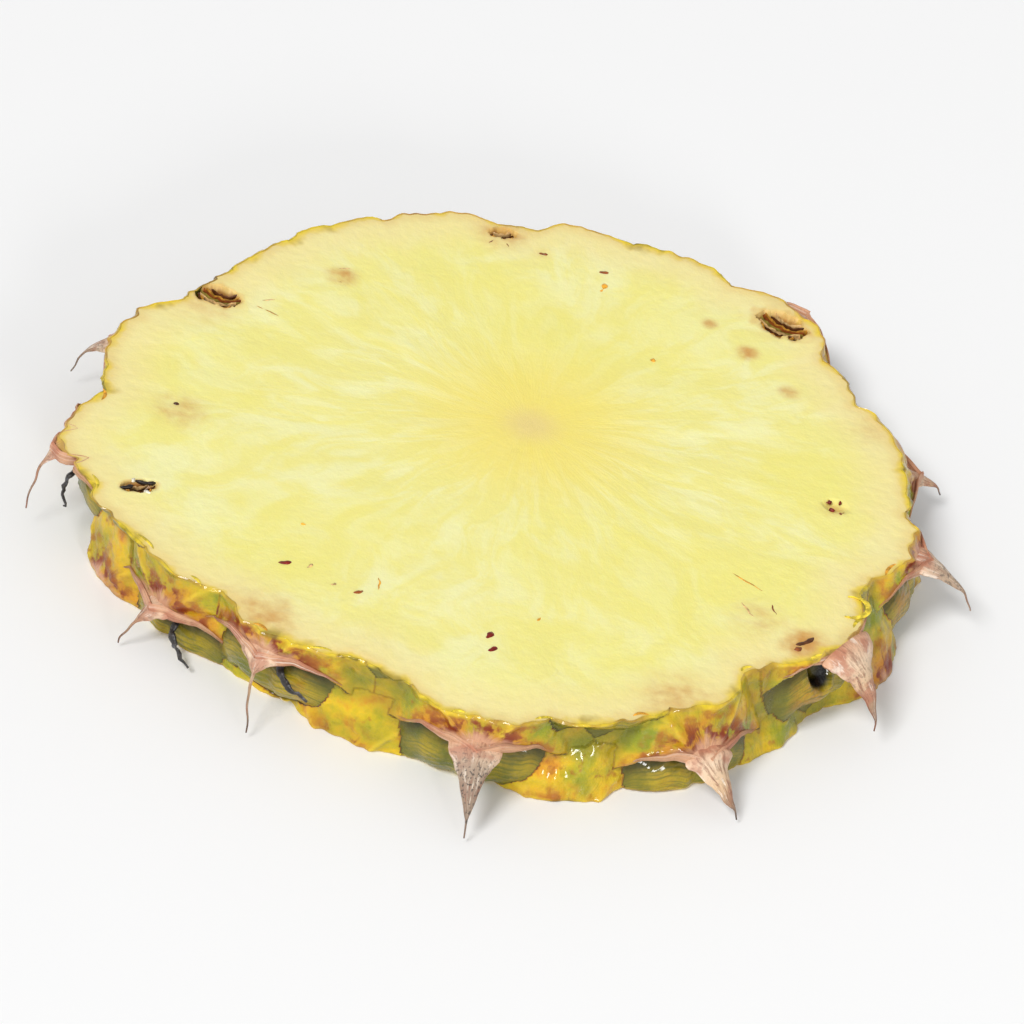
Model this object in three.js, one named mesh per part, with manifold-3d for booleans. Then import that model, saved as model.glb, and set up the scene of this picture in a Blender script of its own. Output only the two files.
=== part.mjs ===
// A round slice of pineapple: cut straight across the fruit, core in, rind on.
// Millimetres, +Z up. The slice lies on its lower cut face, which is the face nearer
// the crown, so the dry bracts of the rind hang downwards.
import * as THREE from "three";
import { mergeVertices } from "three/addons/utils/BufferGeometryUtils.js";
import Module from "manifold-3d";

const wasm = await Module();
wasm.setup();
const { Manifold, Mesh } = wasm;

// Main sizes
const THICKNESS = 13;
const GROOVE_RADIUS = 54.2;
const AROUND = 204;
const UP = 13;
const TAU = Math.PI * 2;

// Slow waves of the outline: how many around, height in mm, and where the first crest is
const OUTLINE_WAVES = [
  { count: 2, height: 0.9, crest: 43 },
  { count: 3, height: 1.1, crest: -52 },
  { count: 4, height: 0.8, crest: 14 },
  { count: 5, height: 0.5, crest: -9 },
];

// The knife went through a little askew: the upper face sits this far to one side
const SKEW = 1.5;
const SKEW_TOWARDS = 200;

// One fruitlet of the rind: a body that swells to a lip, drawn out like a beak where its
// bract is rooted, and an eye set back below the lip
const LIP_OUT = 3.6;
const LIP_HALF_WIDTH = 12.5;
const LIP_ARCH = 0.9;
const LIP_SWEEP = 2.4;
const LIP_LEVEL = 7;
const LIP_ARCH_HALF_WIDTH = 9;
const BEAK_OUT = 1.5;
const BEAK_WIDE = 2.4;
const BEAK_TALL = 2.2;
const BODY_TALL = 12;
const EYE_OUT = 2.9;
const EYE_HALF_WIDTH = 10.5;
const EYE_TALL = 9.4;

// Steps of the spiral between one ring of fruitlets and the next
const RING_TWIST = 12.5;
const RING_RISE = 13.4;

// The ring whose bracts are whole: place around, height of the lip, how far it swells,
// then the bract's spike: reach out, drop, sideways swing, root width, start of its tail
const FRUITLETS = [
  { angle: -4, height: 9.6, swell: 0.9, out: 8.4, down: 4.4, lean: -1.6, wide: 7.0, tail: 0.8 },
  { angle: 20, height: 6.0, swell: 1.0, out: 5.6, down: 3.6, lean: 1.0, wide: 5.4, tail: 0.8 },
  { angle: 52, height: 10.4, swell: 1.1, out: 5.2, down: 6.4, lean: 0.8, wide: 6.0, tail: 0.6 },
  { angle: 84, height: 5.4, swell: 1.1, out: 7.0, down: 4.2, lean: -1.2, wide: 7.0, tail: 0.75 },
  { angle: 110, height: 9.2, swell: 0.8, out: 6.4, down: 5.6, lean: 1.2, wide: 7.2, tail: 0.65 },
  { angle: 138, height: 4.8, swell: 0.9, out: 5.4, down: 3.6, lean: -0.8, wide: 6.6, tail: 0.85 },
  { angle: 168, height: 8.6, swell: 0.9, out: 6.2, down: 6.0, lean: 0.6, wide: 6.8, tail: 0.7 },
  { angle: 196, height: 12.0, swell: 1.0, out: 3.6, down: 8.6, lean: 2.4, wide: 5.2, tail: 0.5 },
  { angle: 223, height: 5.4, swell: 0.8, out: 5.0, down: 4.6, lean: -1.2, wide: 6.6, tail: 0.6 },
  { angle: 241, height: 9.0, swell: 0.8, out: 5.4, down: 8.0, lean: 2.8, wide: 8.4, tail: 0.42 },
  { angle: 272, height: 8.2, swell: 1.1, out: 9.0, down: 7.2, lean: 0.4, wide: 8.6, tail: 0.86 },
  { angle: 303, height: 5.6, swell: 1.0, out: 7.2, down: 4.8, lean: 1.8, wide: 8.6, tail: 0.9 },
  { angle: 329, height: 11.4, swell: 0.9, out: 6.6, down: 8.4, lean: -0.8, wide: 11.5, tail: 0.92 },
];
const BRACT_ROOT_DEEP = 1.6;
const BRACT_ROOT_ABOVE = 0.9;
const BRACT_ROOT_LONG = 4;
const TAIL_HALF_WIDTH = 0.3;

// A bract's width, in shares of its root width: a blade that narrows to the tail, and a
// flare that spreads over the root and fades along the bract
const BLADE_SHARE = 0.6;
const FLARE_SHARE = 0.28;
const FLARE_START = 0.16;
const FLARE_FADE = 0.12;
const THICK_SHARE = 0.3;

// The bow a bract hangs in: how far out its bend lies, and how much of the sideways swing
// and of the drop is done by then
const BEND_OUT_SHARE = 0.75;
const BEND_LEAN_SHARE = 0.15;
const BEND_DROP_SHARE = 0.1;

// Withered petals that curl out from under three of the bracts
const CURLS = [
  { angle: 198, height: 11.0, out: 2.6, down: 4.6, lean: 3.4 },
  { angle: 224.5, height: 4.6, out: 2.4, down: 3.4, lean: 6.2 },
  { angle: 242.5, height: 8.2, out: 2.0, down: 2.8, lean: 6.0 },
];
const CURL_HALF_WIDTH = 0.66;
const CURL_HALF_THICK = 0.4;
const CURL_ROOT_DEEP = 1;
const CURL_ROOT_LONG = 1;
const CURL_BOW = 1.8;
const CURL_NARROWING = 0.6;
const CURL_THINNING = 0.5;

// Steps along each bract and curl, and corners around it
const LIMB_STEPS = 7;
const LIMB_SIDES = 8;

// The bracts hang clear of the table and are trimmed off level with the upper cut
const LOWEST_TIP = 0.4;
const KNIFE_LINE = THICKNESS - 0.15;
const HOLLOW_DETAIL = 2;

// Hollows of old flowers that the knife opened, in the upper and in the lower cut face
const UPPER_HOLLOWS = [
  { x: 33.7, y: 41.8, long: 7.8, wide: 5.4, deep: 3.2, turn: -25 },
  { x: -7.8, y: 51.2, long: 3.8, wide: 2.4, deep: 2.8, turn: 10 },
  { x: -44.9, y: 22.8, long: 6.4, wide: 4.6, deep: 2.2, turn: -15 },
  { x: -48.6, y: -23.6, long: 4.8, wide: 2.4, deep: 1.6, turn: 20 },
  { x: 44.2, y: 1.3, long: 3.6, wide: 2.6, deep: 0.6, turn: 0 },
];
const LOWER_HOLLOWS = [
  { x: 40.0, y: -31.0, long: 6.0, wide: 3.8, deep: 2.2, turn: -40 },
  { x: -18.0, y: -48.0, long: 4.4, wide: 2.6, deep: 2.0, turn: 15 },
  { x: -49.0, y: 12.0, long: 5.2, wide: 3.6, deep: 2.0, turn: 80 },
  { x: 14.0, y: 49.0, long: 5.6, wide: 3.0, deep: 1.8, turn: 5 },
];

function radians(degrees) {
  return (degrees * Math.PI) / 180;
}

// Degrees from one place around the slice to another, the short way
function turnBetween(from, to) {
  return ((((to - from) % 360) + 540) % 360) - 180;
}

function makeFruitletRings() {
  const rings = [];
  for (const step of [-1, 0, 1]) {
    for (const fruitlet of FRUITLETS) {
      rings.push({
        angle: fruitlet.angle - step * RING_TWIST,
        height: fruitlet.height + step * RING_RISE,
        swell: fruitlet.swell,
      });
    }
  }
  return rings;
}

// Height of a fruitlet's lip: it arches up beside the bract, then sweeps down round the eye
function lipHeight(fruitlet, along) {
  const side = Math.abs(along);
  const arch = LIP_ARCH * Math.sin(Math.PI * Math.min(side / LIP_ARCH_HALF_WIDTH, 1));
  const past = Math.max(0, (side - LIP_LEVEL) / (LIP_HALF_WIDTH - LIP_LEVEL));
  return fruitlet.height + arch - LIP_SWEEP * Math.min(past, 1.5) ** 1.5;
}

// How far one fruitlet stands out of the groove, along mm sideways and z mm up
function fruitletRelief(fruitlet, along, z) {
  const side = Math.abs(along);
  const above = z - lipHeight(fruitlet, along);
  if (above >= 0) {
    const climb = above / BODY_TALL;
    const halfWidth = LIP_HALF_WIDTH * (1 - 0.5 * climb);
    if (climb >= 1 || side >= halfWidth) {
      return 0;
    }
    const across = 1 - (side / halfWidth) ** 2;
    const beak = BEAK_OUT * Math.exp(-side / BEAK_WIDE - above / BEAK_TALL);
    return fruitlet.swell * LIP_OUT * across * (1 - climb ** 1.6) + beak;
  }
  const drop = (above + EYE_TALL / 2) / (EYE_TALL / 2);
  if (Math.abs(drop) >= 1 || side >= EYE_HALF_WIDTH) {
    return 0;
  }
  return EYE_OUT * (1 - (side / EYE_HALF_WIDTH) ** 2.4) * (1 - Math.abs(drop) ** 2.4);
}

const RINGS = makeFruitletRings();

function rindRadius(degrees, z) {
  let radius = GROOVE_RADIUS;
  for (const wave of OUTLINE_WAVES) {
    radius += wave.height * Math.cos(radians(wave.count * (degrees - wave.crest)));
  }
  const askew = SKEW * ((2 * z) / THICKNESS - 1);
  radius += askew * Math.cos(radians(degrees - SKEW_TOWARDS));
  let relief = 0;
  for (const fruitlet of RINGS) {
    const turn = turnBetween(fruitlet.angle, degrees);
    if (Math.abs(turn) < 16) {
      const along = radians(turn) * GROOVE_RADIUS;
      relief = Math.max(relief, fruitletRelief(fruitlet, along, z));
    }
  }
  return radius + relief;
}

function solidFrom(points, faces) {
  const vertProperties = new Float32Array(points.flat());
  const triVerts = new Uint32Array(faces.flat());
  return new Manifold(new Mesh({ numProp: 3, vertProperties, triVerts }));
}

// Rings of equal point count joined one to the next, with a fan closing each end
function loft(rings) {
  const points = rings.flat();
  const count = rings[0].length;
  const faces = [];
  for (let level = 0; level + 1 < rings.length; level += 1) {
    for (let i = 0; i < count; i += 1) {
      const a = level * count + i;
      const b = level * count + ((i + 1) % count);
      faces.push([a, b, b + count], [a, b + count, a + count]);
    }
  }
  for (const end of [0, rings.length - 1]) {
    const ring = rings[end];
    const middle = [0, 1, 2].map((k) => ring.reduce((sum, p) => sum + p[k], 0) / count);
    points.push(middle);
    const hub = points.length - 1;
    for (let i = 0; i < count; i += 1) {
      const a = end * count + i;
      const b = end * count + ((i + 1) % count);
      faces.push(end === 0 ? [hub, b, a] : [hub, a, b]);
    }
  }
  return solidFrom(points, faces);
}

function makeSliceBody() {
  const rings = [];
  for (let level = 0; level <= UP; level += 1) {
    const z = (THICKNESS * level) / UP;
    const ring = [];
    for (let i = 0; i < AROUND; i += 1) {
      const degrees = (360 * i) / AROUND;
      const radius = rindRadius(degrees, z);
      const angle = radians(degrees);
      ring.push([radius * Math.cos(angle), radius * Math.sin(angle), z]);
    }
    rings.push(ring);
  }
  return loft(rings);
}

// The directions straight out of the slice and sideways along its rim, at a place around
function directionsAt(degrees) {
  const turn = radians(degrees);
  const outward = new THREE.Vector3(Math.cos(turn), Math.sin(turn), 0);
  const sideways = new THREE.Vector3(-Math.sin(turn), Math.cos(turn), 0);
  return { outward, sideways };
}

// A closed limb along a bow, with a straight root that holds it in the fruit: halfWide and
// halfThick give its size at each share of the bow
function makeLimb({ start, bend, tip, sideways, rootLong, halfWide, halfThick }) {
  const path = new THREE.QuadraticBezierCurve3(start, bend, tip);
  const rings = [];
  for (let step = -1; step <= LIMB_STEPS; step += 1) {
    const t = Math.max(step, 0) / LIMB_STEPS;
    const centre = path.getPoint(t);
    const heading = path.getTangent(t);
    if (step < 0) {
      centre.addScaledVector(heading, -rootLong);
    }
    const across = sideways.clone().addScaledVector(heading, -sideways.dot(heading));
    across.normalize();
    const normal = heading.clone().cross(across).normalize();
    const ring = [];
    for (let i = 0; i < LIMB_SIDES; i += 1) {
      const round = (TAU * i) / LIMB_SIDES;
      const point = centre.clone();
      point.addScaledVector(across, halfWide(t) * Math.cos(round));
      point.addScaledVector(normal, halfThick(t) * Math.sin(round));
      ring.push([point.x, point.y, THREE.MathUtils.clamp(point.z, LOWEST_TIP, KNIFE_LINE)]);
    }
    rings.push(ring);
  }
  return loft(rings);
}

// A dry bract: it leaves the beak of its fruitlet, arches out and hangs down to a thin tail
function makeBract(fruitlet) {
  const { outward, sideways } = directionsAt(fruitlet.angle);
  const rootHeight = Math.min(
    lipHeight(fruitlet, 0) + BRACT_ROOT_ABOVE,
    THICKNESS - BRACT_ROOT_ABOVE,
  );
  const rootRadius = rindRadius(fruitlet.angle, rootHeight) - BRACT_ROOT_DEEP;
  const start = outward.clone().multiplyScalar(rootRadius);
  start.z = rootHeight;
  const bend = start.clone().addScaledVector(outward, BEND_OUT_SHARE * fruitlet.out + 1);
  bend.addScaledVector(sideways, BEND_LEAN_SHARE * fruitlet.lean);
  bend.z -= BEND_DROP_SHARE * fruitlet.down;
  const tip = start.clone().addScaledVector(outward, fruitlet.out + 1);
  tip.addScaledVector(sideways, fruitlet.lean);
  tip.z = fruitlet.height - fruitlet.down;
  const halfWide = (t) => {
    const blade = BLADE_SHARE * Math.max(0, 1 - t / fruitlet.tail) ** 0.8;
    const flare = FLARE_SHARE * Math.exp(-Math.max(0, t - FLARE_START) / FLARE_FADE);
    return Math.max(TAIL_HALF_WIDTH, (fruitlet.wide / 2) * (blade + flare));
  };
  const halfThick = (t) => Math.max(TAIL_HALF_WIDTH, THICK_SHARE * halfWide(t));
  const rootLong = BRACT_ROOT_LONG;
  return makeLimb({ start, bend, tip, sideways, rootLong, halfWide, halfThick });
}

function makeCurl(curl) {
  const { outward, sideways } = directionsAt(curl.angle);
  const rootRadius = rindRadius(curl.angle, curl.height) - CURL_ROOT_DEEP;
  const start = outward.clone().multiplyScalar(rootRadius);
  start.z = curl.height;
  const bend = start.clone().addScaledVector(outward, curl.out + CURL_BOW);
  bend.z -= curl.down / 2;
  const tip = start.clone().addScaledVector(outward, curl.out + 1);
  tip.addScaledVector(sideways, curl.lean);
  tip.z -= curl.down;
  const halfWide = (t) => CURL_HALF_WIDTH * (1 - CURL_NARROWING * t * t);
  const halfThick = (t) => CURL_HALF_THICK * (1 - CURL_THINNING * t * t);
  const rootLong = CURL_ROOT_LONG;
  return makeLimb({ start, bend, tip, sideways, rootLong, halfWide, halfThick });
}

function makeHollow({ x, y, long, wide, deep, turn }, level) {
  const ball = new THREE.IcosahedronGeometry(1, HOLLOW_DETAIL);
  ball.scale(long / 2, wide / 2, deep);
  ball.rotateZ(radians(turn));
  ball.translate(x, y, level);
  ball.deleteAttribute("normal");
  ball.deleteAttribute("uv");
  const closed = mergeVertices(ball, 1e-4);
  const vertProperties = new Float32Array(closed.attributes.position.array);
  const triVerts = new Uint32Array(closed.index.array);
  return new Manifold(new Mesh({ numProp: 3, vertProperties, triVerts }));
}

function makeSlice() {
  let slice = makeSliceBody();
  for (const fruitlet of FRUITLETS) {
    slice = slice.add(makeBract(fruitlet));
  }
  for (const curl of CURLS) {
    slice = slice.add(makeCurl(curl));
  }
  for (const hollow of UPPER_HOLLOWS) {
    slice = slice.subtract(makeHollow(hollow, THICKNESS));
  }
  for (const hollow of LOWER_HOLLOWS) {
    slice = slice.subtract(makeHollow(hollow, 0));
  }
  return slice;
}

function toGeometry(solid) {
  const mesh = solid.getMesh();
  const points = new Float32Array(mesh.numVert * 3);
  for (let i = 0; i < mesh.numVert; i += 1) {
    for (let k = 0; k < 3; k += 1) {
      points[i * 3 + k] = mesh.vertProperties[i * mesh.numProp + k];
    }
  }
  const geometry = new THREE.BufferGeometry();
  geometry.setAttribute("position", new THREE.BufferAttribute(points, 3));
  geometry.setIndex(new THREE.BufferAttribute(new Uint32Array(mesh.triVerts), 1));
  geometry.computeVertexNormals();
  return geometry;
}

const flesh = new THREE.MeshStandardMaterial({
  color: 0xf2e795,
  roughness: 0.45,
  metalness: 0,
});
const slice = new THREE.Mesh(toGeometry(makeSlice()), flesh);
slice.name = "pineapple_slice";

const group = new THREE.Group();
group.name = "pineapple_round";
group.add(slice);

export default group;
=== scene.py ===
import math

import bpy
import numpy as np
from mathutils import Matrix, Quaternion, Vector, noise


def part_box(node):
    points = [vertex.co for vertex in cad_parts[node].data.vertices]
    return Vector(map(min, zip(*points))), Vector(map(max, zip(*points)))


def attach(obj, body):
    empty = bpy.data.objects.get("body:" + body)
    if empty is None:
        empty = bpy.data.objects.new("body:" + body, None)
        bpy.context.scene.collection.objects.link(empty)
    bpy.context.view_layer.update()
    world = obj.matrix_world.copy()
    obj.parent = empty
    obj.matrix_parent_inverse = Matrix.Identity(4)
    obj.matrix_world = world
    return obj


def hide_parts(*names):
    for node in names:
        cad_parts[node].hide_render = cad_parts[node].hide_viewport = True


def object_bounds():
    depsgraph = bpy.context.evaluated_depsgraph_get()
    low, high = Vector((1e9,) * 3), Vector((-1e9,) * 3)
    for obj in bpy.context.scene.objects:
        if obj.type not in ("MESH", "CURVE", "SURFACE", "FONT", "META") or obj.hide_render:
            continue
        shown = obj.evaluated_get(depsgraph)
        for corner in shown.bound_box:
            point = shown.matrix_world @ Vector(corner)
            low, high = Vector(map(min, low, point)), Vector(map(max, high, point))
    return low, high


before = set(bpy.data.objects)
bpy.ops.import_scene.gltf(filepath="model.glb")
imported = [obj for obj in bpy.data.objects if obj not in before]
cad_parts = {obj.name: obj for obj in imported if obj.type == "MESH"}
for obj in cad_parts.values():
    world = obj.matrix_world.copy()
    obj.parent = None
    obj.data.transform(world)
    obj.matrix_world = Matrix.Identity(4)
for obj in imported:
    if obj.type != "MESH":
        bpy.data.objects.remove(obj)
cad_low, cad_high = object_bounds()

# ----------------------------------------
# The rind: the tough waxy skin of a hundred fruitlets grown together in spirals. Each swells
# to a lip that ends in a dry bract, and below the lip its closed eye sits back in a hollow.
# The knife cut the skin through at both faces. The crown side is down, so bracts hang.

# Every size below is in millimetres and every angle in degrees
MM = 0.001
slice_low, slice_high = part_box("pineapple_slice")
THICK = (slice_high[2] - slice_low[2]) / MM

# The outline in the grooves between fruitlets: waves around it, their height and crest
GROOVE_RADIUS = 54.2
OUTLINE_WAVES = ((2, 0.9, 43), (3, 1.1, -52), (4, 0.8, 14), (5, 0.5, -9))
# The lip arches up beside the bract, then sweeps down, and wavers twice over: how far, waves
# in each mm, and the shift from one fruitlet to the next
LIP_OUT = 3.6
LIP_HALF_WIDTH = 12.5
LIP_ARCH = 0.9
LIP_ARCH_WIDE = 9.0
LIP_SWEEP = 2.4
LIP_SWEEP_FROM = 7.0
LIP_WAVERS = ((0.18, 1.3, 2.1), (0.05, 3.1, 4.3))
# The body above the lip: its height, how much narrower its top is, and how full it stays
BODY_TALL = 12.0
BODY_TAPER = 0.5
BODY_FULLNESS = 1.6
# Two ridges climb the body: start beside the middle, mm aside for each mm up, half width
RIDGE_OUT = 0.7
RIDGE_START = 1.2
RIDGE_LEAN = 0.8
RIDGE_WIDE = 0.8
# A beak carries the bract, and a rib along the lip grows stronger towards it
BEAK_OUT = 1.5
BEAK_WIDE = 2.4
BEAK_TALL = 2.2
RIB_OUT = 0.35
RIB_ABOVE = 0.4
RIB_TALL = 0.45
RIB_SWELL_WIDE = 3.5
# The eye is a blunt dome with a crease down its middle and fine lines across
EYE_OUT = 2.9
EYE_HALF_WIDTH = 10.5
EYE_TALL = 9.4
EYE_BLUNT = 2.4
EYE_CREASE = 0.22
EYE_CREASE_WIDE = 0.9
EYE_LINE_GAP = 0.9
# The lip overhangs the eye, sharply at the bract and more softly to the sides
UNDERCUT = 0.42
UNDERCUT_SOFTER = 0.12
UNDERCUT_FROM = 3.0
# In the grooves a point belongs to the fruitlet that is nearest by these widths
NEAR_WIDE = 12.0
NEAR_TALL = 9.0
# Beside the highest bract the flower has dropped out of its eye and left a hole
EMPTY_EYE = dict(key=25, along=-3.2, above=-2.8, wide=1.7, tall=2.3, deep=3.0)
# The papery star of each bract's root reaches this far along the lip and up the body
STAR_WIDE = 12.0
STAR_TALL = 4.8
RING_TWIST = 12.5
RING_RISE = 13.4
# The knife went through a little askew: the upper face sits this far to the side of the lower
SKEW = 1.5
SKEW_TOWARDS = 200.0

# The ring whose bracts are whole: place around, height of the lip, how far it swells, then
# the bract's spike: reach out, drop, sideways swing, root width, where its tail begins, and
# how grey and specked with mould it is. The rings above and below it turn and rise by a step.
FRUITLET_SIZES = ("angle", "height", "swell", "out", "down", "lean", "wide", "tail", "mould")
FRUITLETS = [
    dict(zip(FRUITLET_SIZES, row))
    for row in (
        (-4, 9.6, 0.9, 8.4, 4.4, -1.6, 7.0, 0.80, 0.7),
        (20, 6.0, 1.0, 5.6, 3.6, 1.0, 5.4, 0.80, 0.2),
        (52, 10.4, 1.1, 5.2, 6.4, 0.8, 6.0, 0.60, 0.5),
        (84, 5.4, 1.1, 7.0, 4.2, -1.2, 7.0, 0.75, 0.1),
        (110, 9.2, 0.8, 6.4, 5.6, 1.2, 7.2, 0.65, 0.8),
        (138, 4.8, 0.9, 5.4, 3.6, -0.8, 6.6, 0.85, 0.3),
        (168, 8.6, 0.9, 6.2, 6.0, 0.6, 6.8, 0.70, 0.6),
        (196, 12.0, 1.0, 3.6, 8.6, 2.4, 5.2, 0.50, 0.4),
        (223, 5.4, 0.8, 5.0, 4.6, -1.2, 6.6, 0.60, 0.3),
        (241, 9.0, 0.8, 5.4, 8.0, 2.8, 8.4, 0.42, 0.2),
        (272, 8.2, 1.1, 9.0, 7.2, 0.4, 8.6, 0.86, 1.0),
        (303, 5.6, 1.0, 7.2, 4.8, 1.8, 8.6, 0.90, 0.15),
        (329, 11.4, 0.9, 6.6, 8.4, -0.8, 11.5, 0.92, 0.25),
    )
]


def soft_step(low, high, value):
    """0 below low, 1 above high, and a smooth rise between."""
    t = np.clip((value - low) / (high - low), 0.0, 1.0)
    return t * t * (3.0 - 2.0 * t)


def grain_noise(x, y, z, size, seed=0.0):
    """Smooth noise from -1 to 1 with bumps about size mm across."""
    places = np.stack(np.broadcast_arrays(x, y, z), axis=-1).reshape(-1, 3) / size + seed
    values = np.array([noise.noise(Vector(p)) for p in places])
    return values.reshape(np.broadcast(x, y, z).shape)


def lip_height(fruitlet, along):
    """Height of a fruitlet's lip: it arches up beside the bract, then sweeps down round the eye."""
    side = np.abs(along)
    key = fruitlet["key"]
    arch = LIP_ARCH * np.sin(np.pi * np.clip(side / LIP_ARCH_WIDE, 0.0, 1.0))
    past = (side - LIP_SWEEP_FROM) / (LIP_HALF_WIDTH - LIP_SWEEP_FROM)
    sweep = LIP_SWEEP * np.clip(past, 0.0, 1.5) ** 1.5
    waver = sum(far * np.sin(close * along + shift * key) for far, close, shift in LIP_WAVERS)
    return fruitlet["height"] + arch - sweep + waver


rings = []
for step in (-1, 0, 1):
    for number, fruitlet in enumerate(FRUITLETS):
        rings.append(
            dict(
                fruitlet,
                angle=fruitlet["angle"] - step * RING_TWIST,
                height=fruitlet["height"] + step * RING_RISE,
                key=number + len(FRUITLETS) * (step + 1),
            )
        )
whole_ring = rings[len(FRUITLETS) : 2 * len(FRUITLETS)]


def rind_at(degrees, z):
    """Radius of the rind in mm, with each point's place on the fruitlet that it belongs to."""
    degrees, z = np.broadcast_arrays(degrees, z)
    base = np.full(degrees.shape, GROOVE_RADIUS)
    for count, height, crest in OUTLINE_WAVES:
        base = base + height * np.cos(np.radians(count * (degrees - crest)))
    askew = SKEW * (2.0 * z / THICK - 1.0)
    base = base + askew * np.cos(np.radians(degrees - SKEW_TOWARDS))
    relief = np.zeros(degrees.shape)
    place = dict(
        along=np.zeros(degrees.shape),
        above=np.full(degrees.shape, -BODY_TALL),
        key=np.zeros(degrees.shape),
        ridge=np.zeros(degrees.shape),
    )
    nearest = np.full(degrees.shape, 1e9)
    for fruitlet in rings:
        turn = (degrees - fruitlet["angle"] + 540.0) % 360.0 - 180.0
        along = np.radians(turn) * GROOVE_RADIUS
        side = np.abs(along)
        above = z - lip_height(fruitlet, along)
        up = np.clip(above, 0.0, None)
        climb = np.clip(above / BODY_TALL, 0.0, 1.0)
        half = LIP_HALF_WIDTH * (1.0 - BODY_TAPER * climb)
        across = 1.0 - np.clip(side / half, 0.0, 1.0) ** 2.0
        body = fruitlet["swell"] * LIP_OUT * across * (1.0 - climb**BODY_FULLNESS)
        ridge_line = (side - RIDGE_LEAN * up - RIDGE_START) / RIDGE_WIDE
        ridge = np.exp(-(ridge_line**2)) * soft_step(0.3, 2.5, above) * (1.0 - climb)
        beak = BEAK_OUT * np.exp(-side / BEAK_WIDE - up / BEAK_TALL)
        rib = RIB_OUT * np.exp(-(((above - RIB_ABOVE) / RIB_TALL) ** 2)) * across
        rib = rib * (1.0 + np.exp(-side / RIB_SWELL_WIDE))
        body = body + np.where(body > 0.3, RIDGE_OUT * ridge + beak + rib, 0.0)
        drop = np.clip((above + EYE_TALL / 2) / (EYE_TALL / 2), -1.0, 1.0)
        dome = np.clip(1.0 - (side / EYE_HALF_WIDTH) ** EYE_BLUNT, 0.0, 1.0)
        dome = dome * (1.0 - np.abs(drop) ** EYE_BLUNT)
        crease = 1.0 - EYE_CREASE * np.exp(-((along / EYE_CREASE_WIDE) ** 2))
        eye = EYE_OUT * dome * crease
        undercut = UNDERCUT + UNDERCUT_SOFTER * np.clip(side - UNDERCUT_FROM, 0.0, None)
        own = eye + (body - eye) * soft_step(-undercut, 0.05, above)
        far = (side / NEAR_WIDE) ** 2 + ((above - 1.0) / NEAR_TALL) ** 2
        wins = (own > relief) | ((relief <= 0.0) & (far < nearest))
        relief = np.where(wins, np.maximum(own, relief), relief)
        nearest = np.where(wins, far, nearest)
        for name, value in (("along", along), ("above", above), ("ridge", ridge)):
            place[name] = np.where(wins, value, place[name])
        place["key"] = np.where(wins, fruitlet["key"], place["key"])
    emptied = ((place["along"] - EMPTY_EYE["along"]) / EMPTY_EYE["wide"]) ** 2
    emptied = emptied + ((place["above"] - EMPTY_EYE["above"]) / EMPTY_EYE["tall"]) ** 2
    place["hole"] = np.where(place["key"] == EMPTY_EYE["key"], np.exp(-(emptied**1.5)), 0.0)
    relief = relief - EMPTY_EYE["deep"] * place["hole"]
    place["relief"] = relief
    star_side = np.abs(place["along"]) / STAR_WIDE
    star_up = np.abs(place["above"] - 0.3) / STAR_TALL
    place["star"] = 1.0 - star_side**0.6 - star_up**0.6
    return base + relief, place


# Rows of points lie closer than the smallest blisters, and where the knife went through, the
# rind's edge stands a hair above the flesh, which sinks as it dries
AROUND = 1200
ROWS = 60
EDGE_WIDE = 0.32
EDGE_PROUD = 0.10
EDGE_ROW = 0.12
NEXT_ROW = 0.3
# The skin is uneven three times over: the size and the depth of each kind of bump
LEATHER_SIZE, LEATHER_DEEP = 4.2, 0.30
BLISTER_SIZE, BLISTER_DEEP = 2.0, 0.26
PIMPLE_SIZE, PIMPLE_DEEP = 0.9, 0.13
# Folds fan out over each body from the root of its bract, and fine lines cross the eyes,
# sagging to the sides
FOLDS_AROUND = 1.9
FOLD_LONG = 9.0
FOLD_DEEP = 0.55
EYE_LINE_DEEP = 0.05
EYE_LINE_SAG = 0.06
# The knife tore the upper rim into scallops and small notches
SCALLOP_SIZE, SCALLOP_OUT, SCALLOP_IN, SCALLOP_TALL = 8.0, 2.0, 0.4, 1.6
NOTCH_SIZE, NOTCH_DEEP, NOTCH_IN = 2.2, 0.40, 0.10
LOWER_RIM_IN = 0.12
# Streaks of colour fan out in the same way: noise bumps per radian around, and mm along each
STREAKS_AROUND = 5.0
STREAK_LONG = 6.0
# Noise this far apart gives each fruitlet folds and streaks of its own
OWN_NOISE = 3.7

around = np.arange(AROUND) * 360.0 / AROUND
row_z = np.concatenate(
    ([EDGE_ROW], np.linspace(NEXT_ROW, THICK - NEXT_ROW, ROWS), [THICK - EDGE_ROW])
)
grid_turn, grid_z = np.meshgrid(around, row_z)
grid_x, grid_y = np.cos(np.radians(grid_turn)), np.sin(np.radians(grid_turn))
radius, place = rind_at(grid_turn, grid_z)
side_x, side_y = grid_x * radius, grid_y * radius
root_far = np.hypot(place["along"], place["above"] - 0.5)
heading = np.arctan2(place["above"], place["along"])
on_body = soft_step(-0.1, 0.4, place["above"])
leathery = grain_noise(side_x, side_y, grid_z, LEATHER_SIZE, 17.0)
blister = grain_noise(side_x, side_y, grid_z, BLISTER_SIZE)
pimple = grain_noise(side_x, side_y, grid_z, PIMPLE_SIZE, 31.0)
folds = grain_noise(
    FOLDS_AROUND * np.cos(heading),
    FOLDS_AROUND * np.sin(heading),
    OWN_NOISE * place["key"] + root_far / FOLD_LONG,
    1.0,
)
eye_lines = place["above"] + EYE_LINE_SAG * place["along"] ** 2
eye_lines = np.sin(eye_lines * math.tau / EYE_LINE_GAP)
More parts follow.
